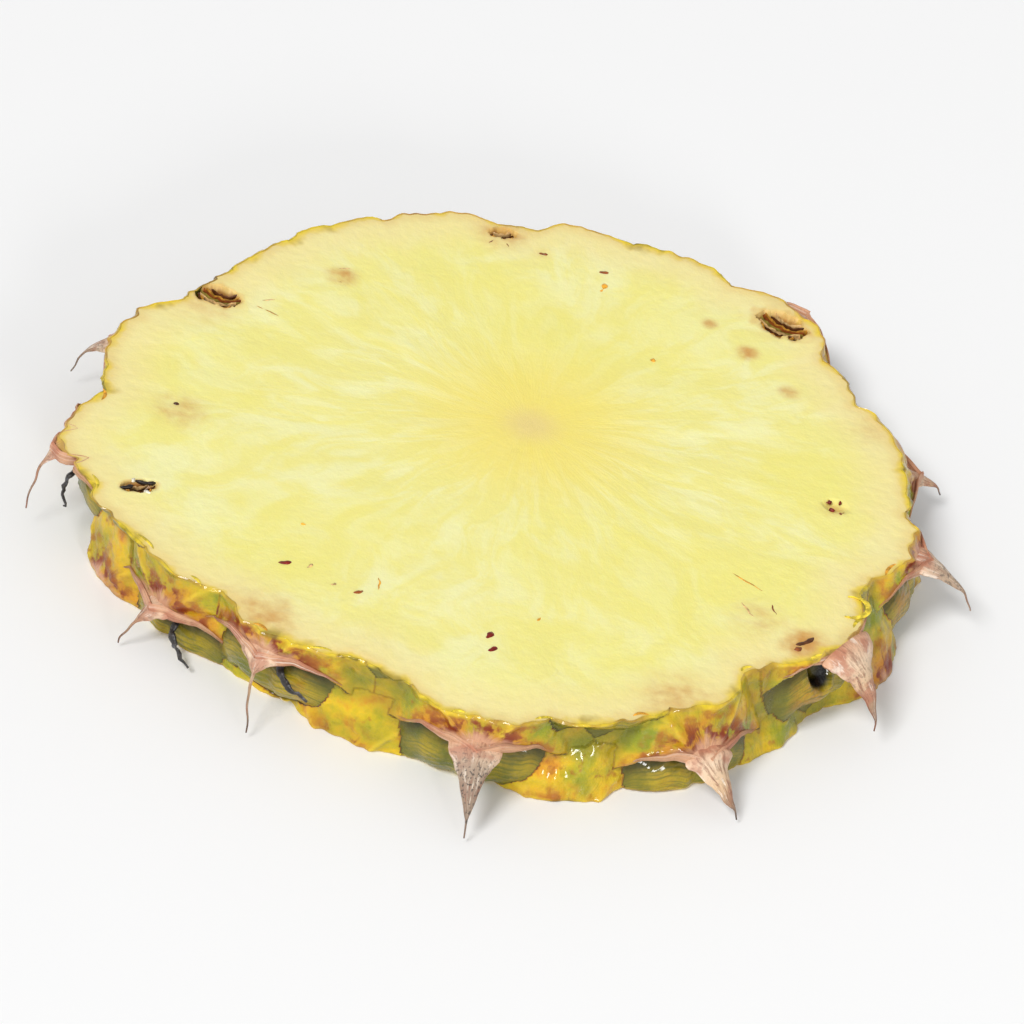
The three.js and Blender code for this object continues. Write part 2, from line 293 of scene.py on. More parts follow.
# The skin lies smoother under the bracts' arms, along the lip
under_arm = 1.0 - 0.75 * np.exp(-(((place["above"] - 0.3) / 0.9) ** 2))
bumps = BLISTER_DEEP * blister + PIMPLE_DEEP * pimple
bumps = LEATHER_DEEP * leathery + bumps * (0.3 + 0.7 * on_body)
radius = radius + bumps * under_arm
radius = radius + FOLD_DEEP * folds * on_body * soft_step(1.0, 4.0, root_far)
radius = radius + EYE_LINE_DEEP * eye_lines * (1.0 - on_body)
scallop = np.abs(grain_noise(side_x[-1], side_y[-1], row_z[-1], SCALLOP_SIZE, 51.0))
at_rim = soft_step(THICK - SCALLOP_TALL, THICK, grid_z)
radius = radius + (SCALLOP_OUT * scallop - SCALLOP_IN) * at_rim
notch = grain_noise(side_x[-1], side_y[-1], row_z[-1], NOTCH_SIZE, 63.0)
radius[-1] = radius[-1] + NOTCH_DEEP * notch - NOTCH_IN
radius[0] = radius[0] - LOWER_RIM_IN


def ring_faces(faces, outer, outer_count, inner, inner_count, flip=False):
    """Adds the faces between two rings of points, where the inner may have half as many."""
    for i in range(inner_count):
        j = (i + 1) % inner_count
        if outer_count == inner_count:
            made = [(outer + i, outer + j, inner + j, inner + i)]
        else:
            a, b, c = outer + 2 * i, outer + 2 * i + 1, outer + (2 * i + 2) % outer_count
            made = [(a, b, inner + i), (b, inner + j, inner + i), (b, c, inner + j)]
        faces.extend(face[::-1] if flip else face for face in made)


def make_piece(name, points, faces, values):
    """A smooth mesh object from points in mm, keeping named values for each point."""
    mesh = bpy.data.meshes.new(name)
    mesh.from_pydata((np.asarray(points) * MM).tolist(), [], faces)
    for label, value in values.items():
        value = np.asarray(value, dtype=np.float32)
        kind, field = ("FLOAT", "value") if value.ndim == 1 else ("FLOAT_VECTOR", "vector")
        layer = mesh.attributes.new(label, kind, "POINT")
        layer.data.foreach_set(field, value.ravel())
    mesh.polygons.foreach_set("use_smooth", [True] * len(mesh.polygons))
    mesh.set_sharp_from_angle(angle=math.radians(60))
    mesh.update()
    piece = bpy.data.objects.new(name, mesh)
    bpy.context.scene.collection.objects.link(piece)
    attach(piece, "root")
    return piece


# The cut edges: a ring at each face's level, and one where the flesh takes over
sources = [0, 0, *range(len(row_z)), -1, -1]
inset = np.zeros((len(sources), 1))
inset[[1, -2]] = EDGE_WIDE / 2
inset[[0, -1]] = EDGE_WIDE
side_radius = radius[sources] - inset
side_z = np.array([EDGE_PROUD, 0.0, *row_z, THICK, THICK - EDGE_PROUD])[:, None]
side_z = np.broadcast_to(side_z, side_radius.shape)
points = np.stack([side_radius * grid_x[0], side_radius * grid_y[0], side_z], axis=-1)
kept = ("above", "along", "relief", "ridge", "key", "star", "hole")
values = {name: place[name][sources].ravel() for name in kept}
# How far below or above the nearer cut face a point lies, and nothing on the cut edges
to_face = np.minimum(side_z, THICK - side_z)
values["trim"] = np.where(to_face > (EDGE_PROUD + EDGE_ROW) / 2, to_face, 0.0).ravel()
streak_places = [
    STREAKS_AROUND * np.cos(heading),
    STREAKS_AROUND * np.sin(heading),
    root_far / STREAK_LONG + OWN_NOISE * place["key"],
]
values["fibre"] = np.stack(streak_places, axis=-1)[sources].reshape(-1, 3)
faces = []
for row in range(len(sources) - 1):
    ring_faces(faces, row * AROUND, AROUND, (row + 1) * AROUND, AROUND)
rind = make_piece("rind", points.reshape(-1, 3), faces, values)


def linear(hex_colour):
    """sRGB hex to a linear colour with alpha."""
    value = int(hex_colour.lstrip("#"), 16)
    channels = [((value >> shift) & 255) / 255 for shift in (16, 8, 0)]
    channels = [c / 12.92 if c <= 0.04045 else ((c + 0.055) / 1.055) ** 2.4 for c in channels]
    return (*channels, 1.0)


def add(tree, kind, inputs=None, out=0, stops=None, **settings):
    """Adds a node with its settings, links or fills its inputs, and gives the output wanted."""
    made_node = tree.nodes.new("ShaderNode" + kind)
    for name, value in settings.items():
        setattr(made_node, name, value)
    if stops:
        ramp = made_node.color_ramp
        while len(ramp.elements) < len(stops):
            ramp.elements.new(0.5)
        for element, (position, colour) in zip(ramp.elements, stops):
            element.position = position
            element.color = linear(colour)
    for key, value in (inputs or {}).items():
        if isinstance(value, bpy.types.NodeSocket):
            tree.links.new(value, made_node.inputs[key])
        elif isinstance(value, str):
            made_node.inputs[key].default_value = linear(value)
        else:
            made_node.inputs[key].default_value = value
    return made_node.outputs[out] if len(made_node.outputs) else made_node


def new_material(name):
    """An empty material and its node tree."""
    material = bpy.data.materials.new(name)
    material.use_nodes = True
    material.node_tree.nodes.clear()
    return material, material.node_tree


def stained(tree, colour, stains):
    """Lays tints over a colour, each up to its most, where its values run from low to high."""
    for tint, most, *ramps in stains:
        share = None
        for value, low, high in ramps:
            limits = {0: value, 1: low, 2: high, 4: most if share is None else 1.0}
            ramp = add(tree, "MapRange", limits, interpolation_type="SMOOTHSTEP")
            if share is None:
                share = ramp
            else:
                share = add(tree, "Math", {0: share, 1: ramp}, operation="MULTIPLY")
        colour = add(tree, "Mix", {0: share, 6: colour, 7: tint}, out=2, data_type="RGBA")
    return colour


def per_metre(size):
    """The noise scale that gives bumps of a size in mm."""
    return 1.0 / (size * MM)


# Ripe rind: waxy skin. The bodies run from green to gold, and to rust at the root of each
# bract, with paler ridges; the eyes under the lips are olive to golden brown. The wax itself
# is nearly dull, and a film of juice over it gives the glints. Sizes of its patches of
# ripeness, patches along the cut, blotches and pores:
PATCH_SIZE = 5.88
RIM_PATCH_SIZE = 5.26
BLOTCH_SIZE = 1.92
PORE_SIZE = 1.25
ripe_rind, tree = new_material("waxy_pineapple_rind")
at = {
    name: add(tree, "Attribute", attribute_name=name, out=2)
    for name in ("above", "along", "relief", "ridge", "key", "star", "hole", "trim")
}
streaks_at = add(tree, "Attribute", attribute_name="fibre", out=1)
where = add(tree, "TexCoord", out=3)
own = add(tree, "TexWhiteNoise", {"W": at["key"]}, noise_dimensions="1D")
patch = add(
    tree,
    "TexNoise",
    {"Vector": where, "Scale": per_metre(PATCH_SIZE), "Detail": 6.0, "Roughness": 0.6},
)
blotch, trim_noise, skin = [
    add(tree, "TexNoise", {"Vector": where, "Scale": per_metre(size), "Detail": detail})
    for size, detail in ((BLOTCH_SIZE, 5.0), (RIM_PATCH_SIZE, 3.0), (PORE_SIZE, 4.0))
]
streaks = add(
    tree, "TexNoise", {"Vector": streaks_at, "Scale": 1.0, "Detail": 5.0, "Roughness": 0.65}
)
# Each fruitlet is a little riper or greener than the next
ripeness = add(tree, "Math", {0: own, 1: 0.16, 2: -0.08}, operation="MULTIPLY_ADD")
ripeness = add(tree, "Math", {0: patch, 1: ripeness}, operation="ADD")
# The papery star frays along the streaks
star = add(tree, "Math", {0: streaks, 1: 0.5, 2: at["star"]}, operation="MULTIPLY_ADD")
star = add(tree, "Math", {0: star, 1: 0.25}, operation="SUBTRACT")
side = add(tree, "Math", {0: at["along"]}, operation="ABSOLUTE")
# The last of these measures how far a point lies aside of and below the middle of its lip, for the
# painted shade under each bract's root
root_far, panel_edge, root_shade_far = [
    add(tree, "Math", inputs, operation="MULTIPLY_ADD")
    for inputs in (
        {0: side, 1: 0.6, 2: at["above"]},
        {0: at["above"], 1: -0.8, 2: side},
        {0: at["above"], 1: -1.4, 2: side},
    )
]
eye_grain = add(tree, "CombineXYZ", {0: at["along"], 1: at["key"], 2: at["above"]})
eye_grain = add(tree, "VectorMath", {0: eye_grain, 1: (0.14, 5.0, 2.8)}, operation="MULTIPLY")
eye_lines = add(tree, "TexNoise", {"Vector": eye_grain, "Scale": 1.0, "Detail": 3.0})
body_colour = add(
    tree,
    "ValToRGB",
    {0: ripeness},
    stops=((0.36, "#858c1a"), (0.46, "#aea018"), (0.56, "#d2b01a"), (0.66, "#d2921c"), (0.76, "#a85a1a")),
)
eye_colour = add(
    tree,
    "ValToRGB",
    {0: ripeness},
    stops=((0.36, "#6a6c1e"), (0.46, "#8a7c1c"), (0.56, "#a8921e"), (0.68, "#a87c20")),
)
trim_colour = add(
    tree,
    "ValToRGB",
    {0: trim_noise},
    stops=((0.36, "#a07c34"), (0.47, "#c4a03c"), (0.57, "#e0c42c"), (0.66, "#7c6e20")),
)
# The body: golden between its ridges, which are pale, with brown specks; amber, brown and
# rust gather towards the bract, whose papery root spreads out in a streaky star
body_colour = stained(
    tree,
    body_colour,
    (
        ("#cf9a1c", 0.35, (panel_edge, 2.8, 0.6), (at["above"], 9.5, 4.0)),
        ("#e2c83a", 0.75, (at["ridge"], 0.2, 0.9)),
        ("#9a5a1c", 0.65, (blotch, 0.60, 0.70)),
        ("#b8701c", 0.80, (patch, 0.40, 0.56), (root_far, 9.0, 4.0)),
        ("#9c5818", 0.85, (blotch, 0.46, 0.62), (root_far, 10.0, 4.5)),
        ("#7a2a10", 0.95, (blotch, 0.46, 0.57), (root_far, 6.5, 3.5)),
        ("#6f2a12", 1.00, (streaks, 0.55, 0.66), (root_far, 8.5, 2.0)),
        ("#d2a282", 0.90, (star, 0.05, 0.36)),
        ("#955446", 0.55, (streaks, 0.50, 0.66), (at["star"], 0.05, 0.5)),
        ("#b98460", 0.70, (at["above"], 0.75, 0.30), (side, 12.0, 2.0)),
    ),
)
# The eye: lined, greener and darker at its sunken edge, partly its own olive and partly painted
# shade; painted shade fills the cleft under the lip, and near-black painted shade lies just
# under each bract's root and in the empty eye's hole
eye_colour = stained(
    tree,
    eye_colour,
    (
        ("#565f20", 0.60, (eye_lines, 0.46, 0.62)),
        ("#555c1e", 0.80, (at["relief"], 2.2, 0.4)),
        ("#2c220c", 0.88, (at["above"], -4.2, -0.6)),
        ("#17100a", 0.95, (root_shade_far, 6.2, 2.2)),
        ("#0a0705", 1.00, (at["hole"], 0.05, 0.35)),
    ),
)
rind_colour = stained(
    tree,
    eye_colour,
    (
        (body_colour, 1.00, (at["above"], -0.20, 0.05)),
        # Painted shade: a dull olive where the rind sinks lowest, in the grooves between fruitlets
        ("#6a6216", 0.50, (at["relief"], 1.2, 0.1)),
        (trim_colour, 0.75, (at["trim"], 0.7, 0.1)),
    ),
)
rind_height = add(tree, "Math", {0: streaks, 1: skin}, operation="ADD")
rind_bump = add(tree, "Bump", {"Height": rind_height, "Strength": 0.6, "Distance": 0.5 * MM})
rind_rough = add(tree, "MapRange", {0: patch, 1: 0.35, 2: 0.65, 3: 0.24, 4: 0.5})
shader = add(
    tree,
    "BsdfPrincipled",
    {
        "Base Color": rind_colour,
        "Roughness": rind_rough,
        "Normal": rind_bump,
        "Specular IOR Level": 0.15,
        "Coat Weight": 0.5,
        "Coat Roughness": 0.08,
    },
)
add(tree, "OutputMaterial", {"Surface": shader})
rind.data.materials.append(ripe_rind)

# ----------------------------------------
# The cut flesh: the two faces that the knife left, in rings of points from the rind's edge
# to the middle. They are level but fibrous, as juicy tissue tears a little between its fibre
# bundles, and near the rim they open the hollows where the flowers withered.

CORE = (1.3, 6.6)
# Rings of points lie close in the margin, where the pits are, and further apart inside it
MARGIN = 15.0
INNER_STEP = 1.25
# Bundles of fibre run out from the core, wandering a little: noise bumps per radian around,
# and mm along each
FIBRES_AROUND = 7.5
FIBRE_LONG = 9.0
FIBRE_WANDER, WANDER_SIZE = 0.07, 12.0
# The face is not quite flat: broad swells, raised bundles and burst cells
SWELL_SIZE, SWELL_DEEP = 11.0, 0.10
BUNDLE_DEEP = 0.10
CELL_BUMP_SIZE, CELL_BUMP_DEEP = 1.1, 0.05
# No point of the lower face goes under this, so that it never lies in the table
TABLE_GAP = 0.02

# A hollow's rim is ragged, its walls are steep, its brown tint starts outside its rim, at this
# many times its radius, and one deeper than this is at its darkest. The tint is dry brown tissue
# around and on the rim, and painted shade inside it
HOLLOW_RAGGED, RAG_SIZE = 0.30, 1.3
HOLLOW_STEEP = 0.4
HOLLOW_TINTED = 1.6
DARKEST_DEPTH = 1.5
# Hollows in the upper face, then in the under face: centre, length, width, depth, turn
HOLLOWS = (
    (dict(x=33.7, y=41.8, long=7.8, wide=5.4, deep=3.2, turn=-25),
     dict(x=-7.8, y=51.2, long=3.8, wide=2.4, deep=2.8, turn=10),
     dict(x=-44.9, y=22.8, long=6.4, wide=4.6, deep=2.2, turn=-15),
     dict(x=-48.6, y=-23.6, long=4.8, wide=2.4, deep=1.6, turn=20),
     dict(x=44.2, y=1.3, long=3.6, wide=2.6, deep=0.6, turn=0)),
    (dict(x=40.0, y=-31.0, long=6.0, wide=3.8, deep=2.2, turn=-40),
     dict(x=-18.0, y=-48.0, long=4.4, wide=2.6, deep=2.0, turn=15),
     dict(x=-49.0, y=12.0, long=5.2, wide=3.6, deep=2.0, turn=80),
     dict(x=14.0, y=49.0, long=5.6, wide=3.0, deep=1.8, turn=5)),
)
# Browned patches of the upper face, then of the under face: centre, radius, strength
STAINS = (
    ((-28.5, -46.0, 6.0, 0.50), (42.5, -30.5, 3.4, 0.80), (36.0, -27.0, 5.0, 0.35),
     (27.0, -47.0, 6.5, 0.45), (-7.8, 51.4, 4.5, 0.50), (33.7, 43.0, 6.5, 0.30),
     (-46.0, -5.5, 4.5, 0.42), (49.0, 22.0, 6.0, 0.32), (-46.0, 20.0, 6.0, 0.32),
     (29.4, 33.2, 1.7, 0.75), (23.5, 38.5, 1.4, 0.55), (36.0, 25.5, 1.8, 0.55),
     (-28.8, 33.1, 2.4, 0.62), (44.2, 0.2, 2.6, 0.35), (-1.5, 47.8, 1.6, 0.35)),
    ((40.0, -31.0, 6.5, 0.50), (-18.0, -47.0, 6.0, 0.45), (-48.0, 13.0, 6.0, 0.35),
     (16.0, 48.0, 7.0, 0.40)),
)

flesh = {name: [] for name in ("points", "inward", "hollow", "stain", "fibre")}
flesh_faces = []


def flesh_ring(**ring):
    """Adds a ring of points with their values and gives the number of its first point."""
    first = sum(len(points) for points in flesh["points"])
    for name, value in ring.items():
        flesh[name].append(value)
    return first


def in_hollow(hollow, x, y, level):
    """How far points lie from a hollow's middle, where 1 is its ragged rim."""
    turn = math.radians(hollow["turn"])
    dx, dy = x - hollow["x"], y - hollow["y"]
    u = (dx * math.cos(turn) + dy * math.sin(turn)) / (hollow["long"] / 2)
    v = (-dx * math.sin(turn) + dy * math.cos(turn)) / (hollow["wide"] / 2)
    reach = np.hypot(u, v)
    near = reach < 3.0
    reach[near] += HOLLOW_RAGGED * grain_noise(x[near], y[near], level, RAG_SIZE, 9.0)
    return reach


def cut_face(upper, step, spacing):
    """Carries a cut face inwards by rings a step apart, thinned to about the spacing given."""
    rim = radius[-1] - EDGE_WIDE if upper else radius[0] - EDGE_WIDE
    level = THICK if upper else 0.0
    face_side = 1.0 if upper else -1.0
    mean = float(np.mean(rim))
    inner = np.arange(MARGIN, mean - 0.5, INNER_STEP)
    depths = np.concatenate((np.arange(0.0, MARGIN, step), inner))
    count = AROUND
    previous, previous_count = None, AROUND
    for depth in depths:
        fine = spacing if depth < MARGIN else 2.0 * spacing
        if math.tau * (mean - depth) / count < fine and count % 2 == 0 and count > 80:
            count //= 2
        outer = rim[:: AROUND // count]
        degrees = np.radians(around[:: AROUND // count])
        keep_shape = (mean - depth) / mean if depth > MARGIN else 1.0
        circle = mean - depth
        ring_radius = circle + (outer - mean) * min(1.0, keep_shape * 1.6)
        x, y = ring_radius * np.cos(degrees), ring_radius * np.sin(degrees)
        inward = outer - ring_radius
        core_far = np.hypot(x - CORE[0], y - CORE[1])
        wander = FIBRE_WANDER * grain_noise(x, y, level, WANDER_SIZE, 5.0)
        bearing = np.arctan2(y - CORE[1], x - CORE[0]) + wander
        fibre = [
            FIBRES_AROUND * np.cos(bearing),
            FIBRES_AROUND * np.sin(bearing),
            core_far / FIBRE_LONG + level,
        ]
        fibre = np.stack(fibre, axis=-1)
        streak = np.array([noise.noise(Vector(p)) for p in fibre])
        relief = SWELL_DEEP * grain_noise(x, y, level, SWELL_SIZE) - SWELL_DEEP
        relief = relief + BUNDLE_DEEP * streak * soft_step(2.0, 12.0, core_far)
        relief = relief + CELL_BUMP_DEEP * grain_noise(x, y, level, CELL_BUMP_SIZE, 77.0)
        off_edge = soft_step(0.0, 1.2, inward)
        relief = relief * off_edge - EDGE_PROUD * (1.0 - off_edge)
        pit_tint_and_shade = np.zeros(count)
        for hollow in HOLLOWS[0] if upper else HOLLOWS[1]:
            reach = in_hollow(hollow, x, y, level)
            bowl = np.clip(1.0 - reach**2, 0.0, 1.0) ** HOLLOW_STEEP
            relief = relief - hollow["deep"] * bowl
            tinted = np.clip(HOLLOW_TINTED - reach, 0.0, HOLLOW_TINTED)
            pit_tint_and_shade = np.maximum(pit_tint_and_shade, tinted * min(1.0, hollow["deep"] / DARKEST_DEPTH))
        bruise = np.zeros(count)
        for stain_x, stain_y, size, strength in STAINS[0] if upper else STAINS[1]:
            reach = np.hypot(x - stain_x, y - stain_y) / size
            bruise = np.maximum(bruise, strength * np.exp(-(reach**2)))
        z = np.maximum(level + face_side * relief, TABLE_GAP)
        points = np.stack([x, y, z], axis=-1)
        first = flesh_ring(points=points, inward=inward, hollow=pit_tint_and_shade, stain=bruise, fibre=fibre)
        if previous is not None:
            ring_faces(flesh_faces, previous, previous_count, first, count, not upper)
        previous, previous_count = first, count
    middle = flesh_ring(
        points=np.array([[0.0, 0.0, level - SWELL_DEEP * face_side]]),
        inward=np.array([mean]),
        hollow=np.zeros(1),
        stain=np.zeros(1),
        fibre=np.array([[0.0, FIBRES_AROUND, level]]),
    )
    for i in range(previous_count):
        face = (previous + i, previous + (i + 1) % previous_count, middle)
        flesh_faces.append(face if upper else face[::-1])


cut_face(upper=True, step=0.38, spacing=0.26)
cut_face(upper=False, step=0.60, spacing=0.40)
flesh = {name: np.concatenate(value) for name, value in flesh.items()}
cut_flesh = make_piece("cut_flesh", flesh.pop("points"), flesh_faces, flesh)
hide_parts("pineapple_slice")

# Cut flesh: wet plant tissue, pale lemon, whitish where fibre bundles run out from the core,
# deeper yellow in the core, creamy and then bright yellow as it nears the rind. It is a
# little see-through and glistens with juice. Its real cells are too fine to show, so they
# are drawn about a millimetre across; clouds of colour and mottled bruises are as they are.
CLOUD_SIZE = 20.8
MOTTLE_SIZE = 2.38
CELL_SIZE = 1.11
moist_flesh, tree = new_material("moist_pineapple_flesh")
fibre_at = add(tree, "Attribute", attribute_name="fibre", out=1)
inward_at, pit_tint_and_shade_at, stain_at = [
    add(tree, "Attribute", attribute_name=name, out=2)
    for name in ("inward", "hollow", "stain")
]
where = add(tree, "TexCoord", out=3)
from_core = add(
    tree, "VectorMath", {0: where, 1: (CORE[0] * MM, CORE[1] * MM, 0.0)}, operation="SUBTRACT"
)
from_core = add(tree, "VectorMath", {0: from_core, 1: (1.0, 1.0, 0.0)}, operation="MULTIPLY")
core_far = add(tree, "VectorMath", {0: from_core}, out=1, operation="LENGTH")
wisps = add(
    tree,
    "TexNoise",
    {"Vector": fibre_at, "Scale": 1.0, "Detail": 4.0, "Roughness": 0.55, "Distortion": 0.9},
)
clouds, mottle, rim_noise, cells = [
    add(tree, "TexNoise", {"Vector": where, "Scale": per_metre(size), "Detail": detail})
    for size, detail in ((CLOUD_SIZE, 3.0), (MOTTLE_SIZE, 4.0), (RIM_PATCH_SIZE, 3.0), (CELL_SIZE, 3.0))
]
stain_amount = add(tree, "Math", {0: stain_at, 1: mottle}, operation="MULTIPLY")
rim_reach = add(tree, "Math", {0: rim_noise, 1: 9.0, 2: -3.5}, operation="MULTIPLY_ADD")
rim_reach = add(tree, "Math", {0: rim_reach, 1: 0.1}, operation="MAXIMUM")
rim_colour = add(
    tree,
    "ValToRGB",
    {0: rim_noise},
    stops=((0.36, "#cfae62"), (0.47, "#dfc25a"), (0.57, "#e9cb34"), (0.68, "#a8902a")),
)
flesh_colour = stained(
    tree,
    "#ece48c",
    (
        ("#efecae", 0.90, (wisps, 0.38, 0.68)),
        ("#ece37a", 0.60, (clouds, 0.42, 0.70)),
        ("#f1de70", 0.85, (core_far, 24.0 * MM, 4.0 * MM)),
        ("#e6cb90", 0.55, (core_far, 6.0 * MM, 0.5 * MM)),
        ("#eedf9c", 0.85, (inward_at, 11.0, 1.5)),
        ("#cb9248", 0.95, (stain_amount, 0.03, 0.42)),
        ("#e2c47c", 0.55, (inward_at, 2.6, 0.2)),
        (rim_colour, 0.90, (inward_at, rim_reach, 0.0)),
        # Brown tissue rings each hollow and browns its rim; inside it, painted shade darkens with depth
        ("#d8aa58", 0.60, (pit_tint_and_shade_at, 0.20, 0.60)),
        ("#9c6024", 0.85, (pit_tint_and_shade_at, 0.56, 0.72)),
        ("#3c2812", 0.95, (pit_tint_and_shade_at, 0.72, 1.20)),
    ),
)
fine = add(tree, "TexNoise", {"Vector": fibre_at, "Scale": 4.5, "Detail": 5.0, "Roughness": 0.65})
flesh_height = add(tree, "Math", {0: fine, 1: 0.8, 2: cells}, operation="MULTIPLY_ADD")
flesh_bump = add(tree, "Bump", {"Height": flesh_height, "Strength": 0.3, "Distance": 0.3 * MM})
flesh_rough = add(tree, "MapRange", {0: cells, 1: 0.3, 2: 0.7, 3: 0.30, 4: 0.52})
shader = add(
    tree,
    "BsdfPrincipled",
    {
        "Base Color": flesh_colour,
        "Roughness": flesh_rough,
        "Normal": flesh_bump,
        "IOR": 1.36,
        "Subsurface Weight": 0.15,
        "Subsurface Radius": (1.0, 0.8, 0.35),
        "Subsurface Scale": MM,
    },
)
add(tree, "OutputMaterial", {"Surface": shader})
cut_flesh.data.materials.append(moist_flesh)

# ----------------------------------------
# The bracts: a dry papery leaf over each eye, grown on to the fruitlet. From its root thin
# arms run out along the lip on both sides, and its spike, folded along the middle, curls
# down over the eye. All are closed limbs lofted along bent paths.


def towards(degrees):
    """The level direction at an angle."""
    return Vector((math.cos(math.radians(degrees)), math.sin(math.radians(degrees)), 0.0))


def rind_point(degrees, z, off):
    """A point off mm outside the rind."""
    at_turn, _ = rind_at(np.array([degrees]), np.array([z]))
    turn = math.radians(degrees)
    reach = at_turn[0] + off
    return Vector((reach * math.cos(turn), reach * math.sin(turn), z))


def new_limbs(*names):
    """An empty store for limbs: their points, faces and the values kept for each point."""
    return dict(points=[], faces=[], values={name: [] for name in names})


def loft(store, path, side, half_wide, half_thick, fold=None, corners=10, **labels):
    """Adds a closed limb along a path: wide along side, thick across it, folded if asked."""
    steps = len(path)
    first = len(store["points"])
    for step, centre in enumerate(path):
        heading = (path[min(step + 1, steps - 1)] - path[max(step - 1, 0)]).normalized()
        across = (side - heading * side.dot(heading)).normalized()
        normal = heading.cross(across)
        droop = fold[step] * half_wide[step] if fold else 0.0
        for corner in range(corners):
            turn = math.tau * corner / corners
            u = math.cos(turn)
            lift = math.sin(turn) * half_thick[step] - droop * abs(u) ** 1.5
            store["points"].append(centre + across * u * half_wide[step] + normal * lift)
            for name, value in store["values"].items():
                given = labels[name]
                value.append(u if given == "around" else given[step] if np.ndim(given) == 1 else given)
    for step in range(steps - 1):
        low, high = first + step * corners, first + (step + 1) * corners
        for corner in range(corners):
            after = (corner + 1) % corners
            store["faces"].append((low + corner, low + after, high + after, high + corner))
    start = tuple(range(first, first + corners))
    store["faces"].append(start[::-1])
    store["faces"].append(tuple(n + (steps - 1) * corners for n in start))


def bent_path(root, bend, tip, steps):
    """Points along a bow from root to tip that leans towards bend."""
    shares = [step / (steps - 1) for step in range(steps)]
    return [root * (1 - t) ** 2 + bend * 2 * t * (1 - t) + tip * t**2 for t in shares]


UP = Vector((0.0, 0.0, 1.0))
# The spike is rooted this far up its body and this deep in it, and bends over past the lip
SPIKE_STEPS = 30
ROOT_ABOVE = 0.9
ROOT_DEEP = 1.6
BEND_OUT = 0.75
BEND_LEAN = 0.15
BEND_DROP = 0.10
# Its blade narrows to a thread, from a foot that flares where it leaves the rind
BLADE_SHARE = 0.60
FOOT_SHARE = 0.28
FOOT_ENDS = 0.16
FOOT_FADE = 0.12
THREAD_WIDE = 0.34
RAGGED = 0.14
FOLD_MOST = 0.45
# The arms follow the lip, flat against the rind, and thin out to their ends
ARM_STEPS = 24
ARM_LONG = 10.5
ARM_UNEVEN = 3.0
ARM_WIDE, ARM_THREAD = 0.85, 0.28
ARM_THICK = 0.34
bract_limbs = new_limbs("reach", "across", "key", "mould")
for fruitlet in whole_ring:
    key = fruitlet["key"]
    outward = towards(fruitlet["angle"])
    sideways = UP.cross(outward)
    lip = float(lip_height(fruitlet, np.array([0.0]))[0])
    root = rind_point(fruitlet["angle"], min(lip + ROOT_ABOVE, THICK - ROOT_ABOVE), -ROOT_DEEP)
    tip = root + outward * (fruitlet["out"] + 1.0) + sideways * fruitlet["lean"]
    tip.z = max(fruitlet["height"] - fruitlet["down"], 0.55)
    bend = root + outward * (BEND_OUT * fruitlet["out"] + 1.0)
    bend = bend + sideways * fruitlet["lean"] * BEND_LEAN
    bend.z = root.z - BEND_DROP * fruitlet["down"]
    path = bent_path(root, bend, tip, SPIKE_STEPS)
    half_wide, half_thick, reach, fold = [], [], [], []
    for step, centre in enumerate(path):
        t = step / (SPIKE_STEPS - 1)
        blade = BLADE_SHARE * max(0.0, 1.0 - t / fruitlet["tail"]) ** 0.8
        foot = FOOT_SHARE * math.exp(-max(0.0, t - FOOT_ENDS) / FOOT_FADE)
        ragged = 1.0 + RAGGED * noise.noise(Vector((t * 9.0, key, 1.0)))
        half = fruitlet["wide"] / 2 * (blade + foot) * ragged
        half_wide.append(max(half, THREAD_WIDE * (1.0 - 0.7 * t)))
        half_thick.append(max(0.30 * half_wide[-1], 0.24 * (1.0 - 0.6 * t)))
        reach.append(0.08 + 0.92 * t)
        fold.append(FOLD_MOST * float(soft_step(0.05, 0.45, t)))
        waver = [noise.noise(Vector((t * 5.0, key, axis))) for axis in (2.0, 5.0)]
        path[step] = centre + Vector((*waver, 0.0)) * 0.5 * t
        path[step].z = min(max(path[step].z, 0.45), THICK - 0.35)
    loft(
        bract_limbs, path, sideways, half_wide, half_thick,
        fold=fold, corners=14, reach=reach, across="around", key=key, mould=fruitlet["mould"],
    )
    for hand in (-1, 1):
        length = ARM_LONG + ARM_UNEVEN * noise.noise(Vector((key, hand, 4.0)))
        arm, half_wide, half_thick, reach = [], [], [], []
        for step in range(ARM_STEPS):
            t = step / (ARM_STEPS - 1)
            along = hand * length * t
            lip = float(lip_height(fruitlet, np.array([along]))[0])
            degrees = fruitlet["angle"] + math.degrees(along / GROOVE_RADIUS)
            drift = 0.16 * noise.noise(Vector((along / 1.6, key, 8.0)))
            arm.append(rind_point(degrees, min(lip + 0.36, THICK - 0.3), 0.08 - 0.2 * t))
            half = ARM_WIDE * (1.0 - t) ** 1.3 + ARM_THREAD * (1.0 - t)
            half_wide.append(half * (1.0 + drift) + 0.05)
            half_thick.append(ARM_THICK * (1.0 - 0.75 * t))
            reach.append(0.12 * (1.0 - t) ** 0.7)
            arm[-1].z = min(max(arm[-1].z, 0.3), THICK - 0.05 - half_wide[-1])
        loft(
            bract_limbs, arm, UP, half_wide, half_thick,
            reach=reach, across="around", key=key + 0.3 * hand, mould=0.0,
        )
bracts = make_piece("bracts", bract_limbs["points"], bract_limbs["faces"], bract_limbs["values"])

